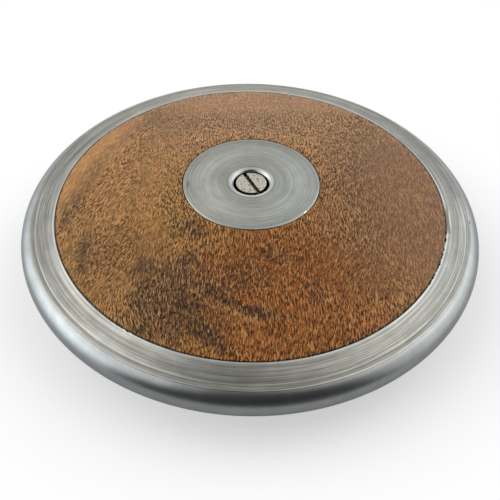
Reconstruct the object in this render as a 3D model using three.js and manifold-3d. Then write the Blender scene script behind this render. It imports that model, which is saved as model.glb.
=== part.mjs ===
// A throwing discus of the 1 kg class, as an assembly of turned pieces.
// Two wooden halves are glued and pinned round the web of a solid steel rim. Two steel centre plates
// are drawn together by a slotted bolt and a sleeve nut, over ballast rings that set the weight.
// Units are millimetres and +Z is up. The origin is on the axis, under the lower plate.

import * as THREE from 'three';
import { mergeVertices } from 'three/addons/utils/BufferGeometryUtils.js';
import Module from 'manifold-3d';

const wasm = await Module();
wasm.setup();

// Overall form, by the gauges that a competition discus has to pass
const discusDiameter = 181;
const discusThickness = 38; // over the two centre plates
const plateDiameter = 52.8;
const rimThickness = 13; // across the flanks, at the gauge point
const rimGaugeInset = 6; // the gauge point's distance from the edge
const rimEdgeRadius = 6.25;

// The rim's section, from the edge inwards
const flankSetback = 4.2; // edge to the step where the turned flank begins
const bandWidth = 9.7; // the flank's width on the steel
const bandEdgeChamfer = 0.3;
const lipThickness = 2.3; // steel left over the relief groove
const grooveDepth = 6.8; // from the band's inner edge outwards
const webThickness = 2.2;
const webDepth = 8; // from the band's inner edge into the wood

// Pins through the web into both halves
const pinCount = 6;
const pinDiameter = 4;
const pinLength = 12;
const pinChamfer = 0.4;

// Centre plates
const flangeThickness = 2.8;
const flangeChamfer = 0.35;
const dishConeWidth = 0.75; // the countersink round the counterbore
const dishConeDepth = 0.7;
const dishLandWidth = 1.05; // the nearly level ring round the countersink
const dishLandDepth = 0.15;
const dishEaseWidth = 0.6; // the soft slope from that ring up to the plate's face
const dishEaseDepth = 0.1;
const hubWall = 2.8;
const hubFloorThickness = 2.2;

// Centre bolt with a slotted cheese head, which is as wide as the nut's
const headOverhang = 1; // the nut's head past its sleeve
const headHeight = 5;
const headSink = 0.6; // the head's face below the plate's face
const headChamfer = 0.2;
const slotWidth = 1.5;
const slotDepth = 1.3;
const slotTurn = THREE.MathUtils.degToRad(-62);
const shankDiameter = 8;
const threadStep = 0.4; // the shank's radius less the thread's pitch radius
const threadRunout = 2; // plain thread above the nut before the shank begins
const threadEngagement = 12.5;
const boltTipChamfer = 0.8;
const boltEndRoom = 1.8; // from the tip to the blind end of the nut's bore

// Sleeve nut and the bush that it lies in
const sleeveWall = 1.2;
const bushWall = 1.7;

// Washers
const springWasherInset = 0.025; // its edge inside the edge of the bolt's head
const springWasherThickness = 2;
const springWasherSplit = 1.2;
const springWasherLean = THREE.MathUtils.degToRad(30);
const nutWasherThickness = 2;

// Ballast on each side
const ballastWidth = 5.75; // from bore to edge, of the rings and the trim washers
const trimWasherThickness = 1;
const trimWasherCount = 2;

// Clearances
const woodGap = 0.3; // steel to wood, and between the loose rings
const seatGap = 0.15; // between the screwed-up faces
const glueLine = 0.3; // between the two halves
const headGap = 0.85; // round the bolt's head
const threadGap = 0.2;
const washerGap = 0.25; // washer bore round its shank
const sleeveGap = 0.3; // round the nut's sleeve
const cutOverrun = 1; // how far a cutting tool runs past a face
const weldDistance = 0.0005; // corners nearer than this are one corner

// Facets round the axis, and steps along the curves
const rimFacets = 96;
const bodyFacets = 72;
const plateFacets = 48;
const ringFacets = 32;
const screwFacets = 24;
const pinFacets = 16;
const beadSteps = 10;

// Heights and radii that several pieces share, with heights counted from the middle plane
const edgeRadius = discusDiameter / 2;
const halfThickness = discusThickness / 2;
const plateRadius = plateDiameter / 2;
const flankSlope = (halfThickness - rimThickness / 2) / (edgeRadius - rimGaugeInset - plateRadius);
const flankOuterRadius = edgeRadius - flankSetback;
const bandInnerRadius = flankOuterRadius - bandWidth;
const webInnerRadius = bandInnerRadius - webDepth;
const woodRadius = bandInnerRadius - woodGap;
const pinCircleRadius = (webInnerRadius + woodRadius) / 2;

const flangeUnderside = halfThickness - flangeThickness;
const headTop = halfThickness - headSink;
const headUnderside = headTop - headHeight;
const threadRadius = shankDiameter / 2 - threadStep;
const nutBoreRadius = threadRadius + threadGap;
const sleeveRadius = nutBoreRadius + sleeveWall;
const headRadius = sleeveRadius + headOverhang;
const counterboreRadius = headRadius + headGap;
const counterboreFloor = headUnderside - springWasherThickness - 2 * seatGap;
const hubRadius = counterboreRadius + hubWall;
const hubBottom = counterboreFloor - hubFloorThickness;
const sleeveHoleRadius = sleeveRadius + sleeveGap;
const bushRadius = sleeveHoleRadius + bushWall;
const ballastBoreRadius = hubRadius + woodGap;
const ballastRadius = ballastBoreRadius + ballastWidth;
const pocketRadius = ballastRadius + woodGap;
const pocketFloor = hubBottom - woodGap;
const trimStack = trimWasherCount * (trimWasherThickness + woodGap);
const ballastRingThickness = flangeUnderside - pocketFloor - trimStack - 2 * woodGap;
const boltTip = boltEndRoom - headUnderside;
const sleeveEnd = boltTip + threadEngagement;

// The straight flank that the plates, the wood and the rim share
function flankHeight(radius) {
  return halfThickness - (radius - plateRadius) * flankSlope;
}

// Points on an arc in the section plane, its ends included
function arcPoints(centreRadius, centreHeight, radius, startAngle, endAngle, steps) {
  const points = [];
  for (let step = 0; step <= steps; step += 1) {
    const angle = startAngle + (endAngle - startAngle) * (step / steps);
    points.push([centreRadius + radius * Math.cos(angle), centreHeight + radius * Math.sin(angle)]);
  }
  return points;
}

// A body turned about Z. The outline runs anticlockwise, with the radius to the right,
// and either starts and ends on the axis or closes on itself.
function turned(outline, facets) {
  const points = outline.map(([radius, height]) => new THREE.Vector2(radius, height));
  if (outline[0][0] > 0) {
    points.push(points[0].clone());
  }
  return new THREE.LatheGeometry(points, facets).rotateX(Math.PI / 2);
}

// A plain ring between two heights
function turnedRing(innerRadius, outerRadius, bottom, top, facets) {
  const outline = [
    [innerRadius, bottom],
    [outerRadius, bottom],
    [outerRadius, top],
    [innerRadius, top],
  ];
  return turned(outline, facets);
}

// A geometry as a solid that can be cut
function toSolid(geometry) {
  const bare = geometry.clone();
  bare.deleteAttribute('normal');
  bare.deleteAttribute('uv');
  const merged = mergeVertices(bare, weldDistance);
  const corners = merged.index.array;
  const kept = [];
  for (let i = 0; i < corners.length; i += 3) {
    const [a, b, c] = corners.slice(i, i + 3);
    if (a !== b && b !== c && c !== a) {
      kept.push(a, b, c);
    }
  }
  const vertProperties = new Float32Array(merged.attributes.position.array);
  const triVerts = new Uint32Array(kept);
  return new wasm.Manifold(new wasm.Mesh({ numProp: 3, vertProperties, triVerts }));
}

// A cut solid as a geometry again
function toGeometry(solid) {
  const mesh = solid.getMesh();
  const geometry = new THREE.BufferGeometry();
  geometry.setAttribute('position', new THREE.BufferAttribute(new Float32Array(mesh.vertProperties), 3));
  geometry.setIndex(new THREE.BufferAttribute(new Uint32Array(mesh.triVerts), 1));
  const faceted = geometry.toNonIndexed();
  faceted.computeVertexNormals();
  return faceted;
}

// A geometry with several tools cut out of it
function cut(geometry, tools) {
  let solid = toSolid(geometry);
  for (const tool of tools) {
    solid = solid.subtract(toSolid(tool));
  }
  return toGeometry(solid);
}

// The angle of each pin round the axis
function pinAngles() {
  return Array.from({ length: pinCount }, (_, i) => (i / pinCount) * 2 * Math.PI);
}

// Drills for the pin holes, centred on the middle plane
function pinDrills(halfLength) {
  const radius = pinDiameter / 2 + woodGap;
  return pinAngles().map((angle) => {
    const outline = [
      [0, -halfLength],
      [radius, -halfLength],
      [radius, halfLength],
      [0, halfLength],
    ];
    const drill = turned(outline, pinFacets);
    drill.translate(pinCircleRadius, 0, 0);
    return drill.rotateZ(angle);
  });
}

// The upper half of the rim's section inside its round edge, from the web to the step
function rimShoulder() {
  const webTop = webThickness / 2;
  const grooveRadius = bandInnerRadius + grooveDepth;
  return [
    [webInnerRadius, webTop],
    [grooveRadius, webTop],
    [grooveRadius, flankHeight(grooveRadius) - lipThickness],
    [bandInnerRadius, flankHeight(bandInnerRadius) - lipThickness],
    [bandInnerRadius, flankHeight(bandInnerRadius) - bandEdgeChamfer],
    [bandInnerRadius + bandEdgeChamfer, flankHeight(bandInnerRadius + bandEdgeChamfer)],
    [flankOuterRadius, flankHeight(flankOuterRadius)],
  ];
}

// The rim: a round edge, a crisp step to the turned flank, a lip over a relief groove, and the web
function rimGeometry() {
  const beadCentre = edgeRadius - rimEdgeRadius;
  const stepAngle = Math.acos((flankOuterRadius - beadCentre) / rimEdgeRadius);
  const upper = rimShoulder();
  const lower = upper.map(([radius, height]) => [radius, -height]);
  const outline = [
    ...lower,
    ...arcPoints(beadCentre, 0, rimEdgeRadius, -stepAngle, stepAngle, beadSteps),
    ...upper.reverse(),
  ];
  return cut(turned(outline, rimFacets), pinDrills(webThickness / 2 + cutOverrun));
}

// One wooden half, with the plate's recess, the ballast pocket, the bush's bore and the web's rebate
function woodHalfGeometry() {
  const boreRadius = bushRadius + woodGap;
  const recessRadius = plateRadius + woodGap;
  const rebateRadius = webInnerRadius - woodGap;
  const rebateHeight = webThickness / 2 + woodGap;
  const outline = [
    [boreRadius, glueLine / 2],
    [rebateRadius, glueLine / 2],
    [rebateRadius, rebateHeight],
    [woodRadius, rebateHeight],
    [woodRadius, flankHeight(woodRadius)],
    [recessRadius, flankHeight(recessRadius)],
    [recessRadius, flangeUnderside - woodGap],
    [pocketRadius, flangeUnderside - woodGap],
    [pocketRadius, pocketFloor],
    [boreRadius, pocketFloor],
  ];
  return cut(turned(outline, bodyFacets), pinDrills(pinLength / 2 + woodGap));
}

// A centre plate: a flat flange, a dished mouth, and a hub with a counterbore for the head
function centrePlateGeometry() {
  const coneRadius = counterboreRadius + dishConeWidth;
  const landRadius = coneRadius + dishLandWidth;
  const landTop = halfThickness - dishEaseDepth;
  const coneTop = landTop - dishLandDepth;
  const outline = [
    [sleeveHoleRadius, hubBottom],
    [hubRadius, hubBottom],
    [hubRadius, flangeUnderside],
    [plateRadius, flangeUnderside],
    [plateRadius, halfThickness - flangeChamfer],
    [plateRadius - flangeChamfer, halfThickness],
    [landRadius + dishEaseWidth, halfThickness],
    [landRadius, landTop],
    [coneRadius, coneTop],
    [counterboreRadius, coneTop - dishConeDepth],
    [counterboreRadius, counterboreFloor],
    [sleeveHoleRadius, counterboreFloor],
  ];
  return turned(outline, plateFacets);
}

// The outline of a cheese head, from under its rim to the axis
function headOutline() {
  return [
    [headRadius, headUnderside],
    [headRadius, headTop - headChamfer],
    [headRadius - headChamfer, headTop],
    [0, headTop],
  ];
}

// The screwdriver slot across a head
function slotCutter() {
  const cutter = new THREE.BoxGeometry(2 * headRadius + cutOverrun, slotWidth, slotDepth + cutOverrun);
  cutter.translate(0, 0, headTop - slotDepth + (slotDepth + cutOverrun) / 2);
  return cutter.rotateZ(slotTurn);
}

function centreBoltGeometry() {
  const shankRadius = shankDiameter / 2;
  const threadTop = sleeveEnd + threadRunout;
  const outline = [
    [0, boltTip],
    [threadRadius - boltTipChamfer, boltTip],
    [threadRadius, boltTip + boltTipChamfer],
    [threadRadius, threadTop],
    [shankRadius, threadTop + shankRadius - threadRadius],
    [shankRadius, headUnderside],
    ...headOutline(),
  ];
  return cut(turned(outline, screwFacets), [slotCutter()]);
}

// The nut is drawn head up, as it lies on its own side of the discus
function sleeveNutGeometry() {
  const outline = [
    [0, headUnderside],
    [nutBoreRadius, headUnderside],
    [nutBoreRadius, -sleeveEnd],
    [sleeveRadius, -sleeveEnd],
    [sleeveRadius, headUnderside],
    ...headOutline(),
  ];
  return cut(turned(outline, screwFacets), [slotCutter()]);
}

// The spring washer under the bolt's head, split by one slanting cut
function springWasherGeometry() {
  const boreRadius = shankDiameter / 2 + washerGap;
  const outerRadius = headRadius - springWasherInset;
  const top = headUnderside - seatGap;
  const bottom = top - springWasherThickness;
  const ring = turnedRing(boreRadius, outerRadius, bottom, top, screwFacets);
  const height = 2 * springWasherThickness / Math.cos(springWasherLean);
  const cutter = new THREE.BoxGeometry(outerRadius, springWasherSplit, height);
  cutter.rotateX(springWasherLean);
  cutter.translate(outerRadius, 0, (top + bottom) / 2);
  return cut(ring, [cutter]);
}

function nutWasherGeometry() {
  const top = headUnderside - seatGap;
  const boreRadius = sleeveRadius + washerGap;
  const outerRadius = counterboreRadius - woodGap;
  return turnedRing(boreRadius, outerRadius, top - nutWasherThickness, top, screwFacets);
}

function coreBushGeometry() {
  return turnedRing(sleeveHoleRadius, bushRadius, -pocketFloor, pocketFloor, ringFacets);
}

// A loose ring in the ballast pocket, round the plate's hub
function ballastGeometry(bottom, thickness) {
  return turnedRing(ballastBoreRadius, ballastRadius, bottom, bottom + thickness, ringFacets);
}

function rimPinGeometry() {
  const radius = pinDiameter / 2;
  const end = pinLength / 2;
  const outline = [
    [0, -end],
    [radius - pinChamfer, -end],
    [radius, pinChamfer - end],
    [radius, end - pinChamfer],
    [radius - pinChamfer, end],
    [0, end],
  ];
  return turned(outline, pinFacets);
}

// Finishes
const turnedSteel = { color: 0xa3a8a0, roughness: 0.38, metalness: 1 };
const screwSteel = { color: 0xb3aca3, roughness: 0.45, metalness: 1 };
const ballastSteel = { color: 0x6f7271, roughness: 0.6, metalness: 1 };
const varnishedWood = { color: 0x8c5c34, roughness: 0.42, metalness: 0 };

function addPiece(group, name, geometry, finish) {
  const piece = new THREE.Mesh(geometry, new THREE.MeshStandardMaterial(finish));
  piece.name = name;
  group.add(piece);
  return piece;
}

// The wood, the centre plate and the ballast of one side, drawn with that side up
function buildSide(side) {
  const group = new THREE.Group();
  addPiece(group, `${side}_wood_half`, woodHalfGeometry(), varnishedWood);
  addPiece(group, `${side}_centre_plate`, centrePlateGeometry(), turnedSteel);
  let bottom = pocketFloor + woodGap;
  addPiece(group, `${side}_ballast_ring`, ballastGeometry(bottom, ballastRingThickness), ballastSteel);
  bottom += ballastRingThickness + woodGap;
  for (let i = 1; i <= trimWasherCount; i += 1) {
    const washer = ballastGeometry(bottom, trimWasherThickness);
    addPiece(group, `${side}_trim_washer_${i}`, washer, ballastSteel);
    bottom += trimWasherThickness + woodGap;
  }
  return group;
}

function buildRim() {
  const group = new THREE.Group();
  addPiece(group, 'rim', rimGeometry(), turnedSteel);
  pinAngles().forEach((angle, i) => {
    const pin = addPiece(group, `rim_pin_${i + 1}`, rimPinGeometry(), screwSteel);
    pin.position.set(pinCircleRadius * Math.cos(angle), pinCircleRadius * Math.sin(angle), 0);
    pin.rotation.z = angle;
  });
  return group;
}

function buildDiscus() {
  const discus = new THREE.Group();
  discus.position.z = halfThickness;
  discus.add(buildRim());

  const upperSide = buildSide('upper');
  addPiece(upperSide, 'bolt_spring_washer', springWasherGeometry(), screwSteel);
  addPiece(upperSide, 'centre_bolt', centreBoltGeometry(), screwSteel);
  discus.add(upperSide);

  const lowerSide = buildSide('lower');
  addPiece(lowerSide, 'nut_washer', nutWasherGeometry(), screwSteel);
  addPiece(lowerSide, 'sleeve_nut', sleeveNutGeometry(), screwSteel);
  lowerSide.rotation.x = Math.PI;
  discus.add(lowerSide);

  addPiece(discus, 'core_bush', coreBushGeometry(), ballastSteel);
  return discus;
}

export default buildDiscus();
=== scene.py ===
"""A throwing discus of the 1 kg class: a turned steel rim round two varnished hardwood halves.

Two steel centre plates close the wood, drawn together by a slotted bolt and a sleeve nut.
The classes hold lengths in millimetres, and heights there run from the middle plane of the discus.
Meshes are made in metres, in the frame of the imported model.
"""
import logging
import math
from collections.abc import Callable, Iterable, Sequence
from dataclasses import dataclass
from enum import Enum
from functools import partial

import bmesh
import bpy
from mathutils import Matrix, Vector


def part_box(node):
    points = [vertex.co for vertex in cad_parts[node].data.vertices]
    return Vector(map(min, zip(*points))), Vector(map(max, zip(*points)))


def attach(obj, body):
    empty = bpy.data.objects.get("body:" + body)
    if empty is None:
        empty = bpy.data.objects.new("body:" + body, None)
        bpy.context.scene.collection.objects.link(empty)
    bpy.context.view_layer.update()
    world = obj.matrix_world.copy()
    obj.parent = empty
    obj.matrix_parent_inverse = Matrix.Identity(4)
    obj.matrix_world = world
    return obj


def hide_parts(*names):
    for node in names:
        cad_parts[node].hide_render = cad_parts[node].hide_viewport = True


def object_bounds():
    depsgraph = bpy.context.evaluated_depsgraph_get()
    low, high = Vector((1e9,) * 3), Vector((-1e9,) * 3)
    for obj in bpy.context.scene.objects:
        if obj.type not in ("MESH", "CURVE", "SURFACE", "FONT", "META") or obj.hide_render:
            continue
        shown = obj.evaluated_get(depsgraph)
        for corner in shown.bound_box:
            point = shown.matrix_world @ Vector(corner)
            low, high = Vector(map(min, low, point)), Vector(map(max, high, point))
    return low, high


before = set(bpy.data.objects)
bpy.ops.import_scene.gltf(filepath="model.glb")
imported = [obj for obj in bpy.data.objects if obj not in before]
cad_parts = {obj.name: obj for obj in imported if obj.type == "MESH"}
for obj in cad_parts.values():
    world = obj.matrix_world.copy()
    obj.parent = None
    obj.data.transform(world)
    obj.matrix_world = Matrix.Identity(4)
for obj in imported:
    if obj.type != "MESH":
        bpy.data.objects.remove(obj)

Point = tuple[float, float]
Outline = list[Point]
Colour = tuple[float, float, float, float]
Tree = bpy.types.NodeTree
Node = bpy.types.Node
Flow = bpy.types.Node | bpy.types.NodeSocket
# A noise value from and to, and what it becomes at each
Ramp = tuple[float, float, float, float]

log = logging.getLogger("discus")

MM = 0.001
WELD = 1e-6
SHARP_ANGLE = math.radians(32)
FULL_TURN = 2 * math.pi
FLAT = (1, 1, 0)
CAD_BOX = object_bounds()
MIDDLE = (CAD_BOX[0].z + CAD_BOX[1].z) / 2


class Side(Enum):
    """The two faces of the discus, with the sign of their heights."""

    UPPER = 1
    LOWER = -1


class Body(Enum):
    """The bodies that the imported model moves."""

    DISCUS = "discus"
    LOCK_WASHER = "lock_washer"
    BOLT = "bolt"


class Slot(Enum):
    """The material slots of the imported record."""

    RIM = "rim_steel"
    PLATE = "plate_steel"
    SCREW = "screw_steel"
    BALLAST = "ballast_steel"
    WOOD = "varnished_wood"


def linear(code: str) -> Colour:
    """Turns an sRGB hex colour into the linear colour that shaders take.

    Args:
        code: The colour, as "#rrggbb".

    Returns:
        Red, green, blue and an alpha of one.
    """
    channels = [int(code[i : i + 2], 16) / 255 for i in (1, 3, 5)]
    red, green, blue = (c / 12.92 if c <= 0.04045 else ((c + 0.055) / 1.055) ** 2.4 for c in channels)
    return red, green, blue, 1.0


def add_node(
    tree: Tree, kind: str, *values: object, inputs: dict[str, object] | None = None, **settings: object
) -> Node:
    """Adds a node to a tree, with its settings, its values and its links.

    Args:
        tree: The node tree.
        kind: The node's type name.
        values: What the inputs in use take, in order: a constant, an output, or a node for its first output.
        inputs: What further inputs take, by name.
        settings: The node's own properties.

    Returns:
        The new node.
    """
    node = tree.nodes.new(kind)
    for name, value in settings.items():
        setattr(node, name, value)
    used = [socket for socket in node.inputs if socket.enabled]
    named = [(node.inputs[name], value) for name, value in (inputs or {}).items()]
    for socket, value in [*zip(used, values), *named]:
        if isinstance(value, Node):
            value = next(output for output in value.outputs if output.enabled)
        if isinstance(value, bpy.types.NodeSocket):
            tree.links.new(value, socket)
        else:
            socket.default_value = value
    return node


@dataclass(frozen=True)
class Extent:
    """The reach of a turned CAD node: its outer radius, and its heights from the middle plane."""

    radius: float
    bottom: float
    top: float

    @classmethod
    def of(cls, node: str) -> "Extent":
        """Reads a node's box from the frame.

        Args:
            node: The CAD node's name.

        Returns:
            Its reach in millimetres.
        """
        low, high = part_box(node)
        return cls(high.x / MM, (low.z - MIDDLE) / MM, (high.z - MIDDLE) / MM)


def arc(centre: Point, radius: float, start: float, end: float, steps: int) -> Outline:
    """Gives the points of an arc in the section plane.

    Args:
        centre: The arc's centre, as radius and height.
        radius: The arc's own radius.
        start: The first angle in radians, counted from straight outwards.
        end: The last angle.
        steps: How many chords it has.

    Returns:
        The points, both ends included.
    """
    angles = [start + (end - start) * i / steps for i in range(steps + 1)]
    return [(centre[0] + radius * math.cos(a), centre[1] + radius * math.sin(a)) for a in angles]


def eased(outline: Outline, ease: float, closed: bool, steps: int = 3, least_turn: float = 15.0) -> Outline:
    """Breaks the sharp corners of a section, as a file or a turning tool does.

    Args:
        outline: The section's corners.
        ease: How far from a corner the easing starts, at most.
        closed: Whether the outline closes on itself.
        steps: How many chords each eased corner has.
        least_turn: The smallest turn, in degrees, that counts as a corner.

    Returns:
        The outline with a small curve at each corner.
    """
    straight_enough, largest_share = math.cos(math.radians(least_turn)), 0.4
    made: Outline = []
    for i, corner in enumerate(outline):
        here = Vector(corner)
        back, ahead = Vector(outline[i - 1]) - here, Vector(outline[(i + 1) % len(outline)]) - here
        at_end = not closed and i in (0, len(outline) - 1)
        if at_end or -back.normalized().dot(ahead.normalized()) > straight_enough:
            made.append(corner)
            continue
        reach = min(ease, largest_share * back.length, largest_share * ahead.length)
        start, end = here + back.normalized() * reach, here + ahead.normalized() * reach
        for t in (j / steps for j in range(steps + 1)):
            made.append(tuple(start * (1 - t) ** 2 + here * 2 * t * (1 - t) + end * t**2))
    return made


def divided(outline: Outline, longest: float) -> Outline:
    """Adds points so that no stretch of a closed section is longer than a given length.

    Args:
        outline: The section's points.
        longest: The longest stretch allowed.

    Returns:
        The outline with the added points.
    """
    made: Outline = []
    for point, following in zip(outline, [*outline[1:], outline[0]]):
        start, end = Vector(point), Vector(following)
        parts = max(1, math.ceil((end - start).length / longest))
        made += [point, *(tuple(start.lerp(end, j / parts)) for j in range(1, parts))]
    return made


def ring_outline(extent: Extent, inner: float, ease: float = 0.2) -> Outline:
    """Draws the section of a plain ring with broken edges.

    Args:
        extent: The ring's reach.
        inner: The radius of its bore.
        ease: How far its edges are broken.

    Returns:
        Its points, closed on themselves.
    """
    bottom, top = extent.bottom, extent.top
    corners = [(inner, bottom), (extent.radius, bottom), (extent.radius, top), (inner, top)]
    return eased(corners, ease, True)


@dataclass(frozen=True)
class Polar:
    """A place in a node tree as seen from the Z axis: its axes, the place laid flat, and its radius."""

    x: Flow
    y: Flow
    z: Flow
    level: Flow
    radius: Flow

    @classmethod
    def of(cls, tree: Tree, place: Flow) -> "Polar":
        """Measures a place.

        Args:
            tree: The node tree.
            place: The place, whose unit of length is kept.

        Returns:
            The measures, as outputs in the tree.
        """
        axes = add_node(tree, "ShaderNodeSeparateXYZ", place).outputs
        level = add_node(tree, "ShaderNodeVectorMath", place, FLAT, operation="MULTIPLY")
        radius = add_node(tree, "ShaderNodeVectorMath", level, operation="LENGTH")
        return cls(axes["X"], axes["Y"], axes["Z"], level, radius)


@dataclass(frozen=True)
class ShapeTree:
    """A Geometry Nodes tree, with the identifiers of its named inputs."""

    tree: Tree
    identifiers: dict[str, str]
    given: bpy.types.bpy_prop_collection
    add: Callable[..., Node]

    @classmethod
    def opened(cls, name: str, numbers: Sequence[str], counts: Sequence[str] = ()) -> "ShapeTree":
        """Starts a tree that takes a geometry, a material and named inputs.

        Args:
            name: The tree's name.
            numbers: The names of the inputs that are lengths or angles.
            counts: The names of the inputs that are whole numbers.

        Returns:
            The tree with the outputs of its group input, and the function that adds a node to it.
        """
        tree = bpy.data.node_groups.new(name, "GeometryNodeTree")
        tree.interface.new_socket(name="Geometry", in_out="INPUT", socket_type="NodeSocketGeometry")
        tree.interface.new_socket(name="Geometry", in_out="OUTPUT", socket_type="NodeSocketGeometry")
        kinds = {"NodeSocketFloat": numbers, "NodeSocketInt": counts, "NodeSocketMaterial": ["Material"]}
        identifiers = {
            label: tree.interface.new_socket(name=label, in_out="INPUT", socket_type=kind).identifier
            for kind, labels in kinds.items()
            for label in labels
        }
        given = tree.nodes.new("NodeGroupInput").outputs
        return cls(tree, identifiers, given, partial(add_node, tree))

    def closed_with(self, geometry: Flow) -> "ShapeTree":
        """Ends the tree in Realize Instances and Set Material.

        Args:
            geometry: The finished shape.

        Returns:
            The tree itself.
        """
        real = self.add("GeometryNodeRealizeInstances", geometry)
        clad = self.add("GeometryNodeSetMaterial", real, inputs={"Material": self.given["Material"]})
        self.add("NodeGroupOutput", clad)
        return self


class Workshop:
    """The machines that shape the pieces, each a Geometry Nodes tree with named sizes, and the finishes."""

    # How far outside the section the lathe's path runs, in millimetres
    PATH_PLAY = 1.0
    # Where between two crests a thread's flank starts and ends, and what share of its depth is cut there
    THREAD_FLANK: Ramp = (0.06, 0.42, 0.0, 1.0)
    # The rim is worn on its upper face alone
    WORN_ABOVE = MIDDLE + 2 * MM
    DENT_GROWTH = 0.35
    SEED_STEP = 0.37
    BURR_FINENESS, BURR_DETAIL, BURR_ROUGHNESS = 42.0, 3.0, 0.65
    BURR_BITE: Ramp = (0.3, 0.7, -1.0, 0.6)
    WIRE_STEPS, WIRE_CORNER_STEPS = 96, 3

    def __init__(self, finishes: "Finishes") -> None:
        """Builds each machine's tree once.

        Args:
            finishes: The materials.
        """
        self.finishes = finishes
        self.lathe = self._lathe()
        self.thread_cutter = self._thread_cutter()
        self.slot_cutter = self._slot_cutter()
        self.lip_wear = self._lip_wear()
        self.drilling_ring = self._drilling_ring()
        self.washer_winder = self._washer_winder()

    @staticmethod
    def _lathe() -> ShapeTree:
        """Makes the tree that sweeps a section, drawn as edges in the XZ plane, round the Z axis."""
        shape = ShapeTree.opened("lathe", ["Path Radius"], ["Facets"])
        add, given = shape.add, shape.given
        axes = add("ShaderNodeSeparateXYZ", add("GeometryNodeInputPosition")).outputs
        out = add("ShaderNodeMath", axes["X"], given["Path Radius"], operation="SUBTRACT")
        down = add("ShaderNodeMath", axes["Z"], -1.0, operation="MULTIPLY")
        flat = add("ShaderNodeCombineXYZ", out, down)
        laid = add("GeometryNodeSetPosition", given["Geometry"], inputs={"Position": flat})
        section = add("GeometryNodeMeshToCurve", laid)
        circle = add("GeometryNodeCurvePrimitiveCircle", given["Facets"], given["Path Radius"])
        upright = add("GeometryNodeSetCurveNormal", circle, mode="Z_UP")
        swept = add("GeometryNodeCurveToMesh", upright, section)
        return shape.closed_with(add("GeometryNodeMergeByDistance", swept, inputs={"Distance": WELD}))

    @classmethod
    def _thread_cutter(cls) -> ShapeTree:
        """Makes the tree that cuts a right-hand thread into what lies between two heights."""
        sizes = ("Pitch", "Depth", "Bottom", "Top", "Runout", "Inside Radius", "Outside Radius")
        shape = ShapeTree.opened("thread cutter", sizes)
        add, given = shape.add, shape.given
        spot = Polar.of(shape.tree, add("GeometryNodeInputPosition"))
        angle = add("ShaderNodeMath", spot.y, spot.x, operation="ARCTAN2")
        turns = add("ShaderNodeMath", angle, FULL_TURN, operation="DIVIDE")
        pitches = add("ShaderNodeMath", spot.z, given["Pitch"], operation="DIVIDE")
        phase = add("ShaderNodeMath", pitches, turns, operation="SUBTRACT")
        # A ping-pong of the phase rises and falls evenly, like the two flanks of a thread
        flank = add("ShaderNodeMath", phase, 0.5, operation="PINGPONG")
        cut = add("ShaderNodeMapRange", flank, *cls.THREAD_FLANK)
        low_end = add("ShaderNodeMath", given["Bottom"], given["Runout"], operation="ADD")
        high_end = add("ShaderNodeMath", given["Top"], given["Runout"], operation="SUBTRACT")
        rise = add("ShaderNodeMapRange", spot.z, given["Bottom"], low_end)
        fall = add("ShaderNodeMapRange", spot.z, given["Top"], high_end)
        for share in (rise, fall, given["Depth"], -1.0):
            cut = add("ShaderNodeMath", cut, share, operation="MULTIPLY")
        outward = add("ShaderNodeVectorMath", spot.level, operation="NORMALIZE")
        shift = add("ShaderNodeVectorMath", outward, cut, operation="SCALE")
        past = add("FunctionNodeCompare", spot.radius, given["Inside Radius"], operation="GREATER_THAN")
        within = add("FunctionNodeCompare", spot.radius, given["Outside Radius"], operation="LESS_THAN")
        both = add("FunctionNodeBooleanMath", past, within, operation="AND")
        moved = add("GeometryNodeSetPosition", given["Geometry"], both, inputs={"Offset": shift})
        return shape.closed_with(moved)

    @staticmethod
    def _slot_cutter() -> ShapeTree:
        """Makes the tree that saws a screwdriver slot across a head."""
        shape = ShapeTree.opened("slot cutter", ("Length", "Width", "Height", "Centre Height", "Turn"))
        add, given = shape.add, shape.given
        size = add("ShaderNodeCombineXYZ", given["Length"], given["Width"], given["Height"])
        saw = add("GeometryNodeMeshCube", size)
        level, turn = (
            add("ShaderNodeCombineXYZ", inputs={"Z": given[label]}) for label in ("Centre Height", "Turn")
        )
        aimed = add("GeometryNodeTransform", saw, level, turn)
        cut = {"operation": "DIFFERENCE", "solver": "EXACT"}
        return shape.closed_with(add("GeometryNodeMeshBoolean", given["Geometry"], aimed, **cut))

    @classmethod
    def _lip_wear(cls) -> ShapeTree:
        """Makes the tree that dents and roughens a stretch of a rim's inner lip.

        The lip is pressed down over the first stretch of angle, and burred over the second and at a nick.
        """
        sizes = (
            "Lip Radius", "Reach", "Dent", "Dent Start", "Dent End",
            "Burr", "Burr End", "Nick Angle", "Nick Width",
        )
        shape = ShapeTree.opened("lip wear", sizes, ["Seed"])
        add, given = shape.add, shape.given
        spot = Polar.of(shape.tree, add("GeometryNodeInputPosition"))
        angle = add("ShaderNodeMath", spot.y, spot.x, operation="ARCTAN2")
        outward = add("ShaderNodeVectorMath", spot.level, operation="NORMALIZE")
        outer = add("ShaderNodeMath", given["Lip Radius"], given["Reach"], operation="ADD")
        near = add("ShaderNodeMapRange", spot.radius, outer, given["Lip Radius"])
        top = add("FunctionNodeCompare", spot.z, cls.WORN_ABOVE, operation="GREATER_THAN")
        # The dent grows slowly from its start and stops short at its end
        slope = add("ShaderNodeMapRange", angle, given["Dent Start"], given["Dent End"])
        ended = add("ShaderNodeMath", angle, given["Dent End"], operation="GREATER_THAN")
        sunk = add("ShaderNodeMath", slope, cls.DENT_GROWTH, operation="POWER")
        for share in (ended, given["Dent"], near, -1.0):
            sunk = add("ShaderNodeMath", sunk, share, operation="MULTIPLY")
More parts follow.
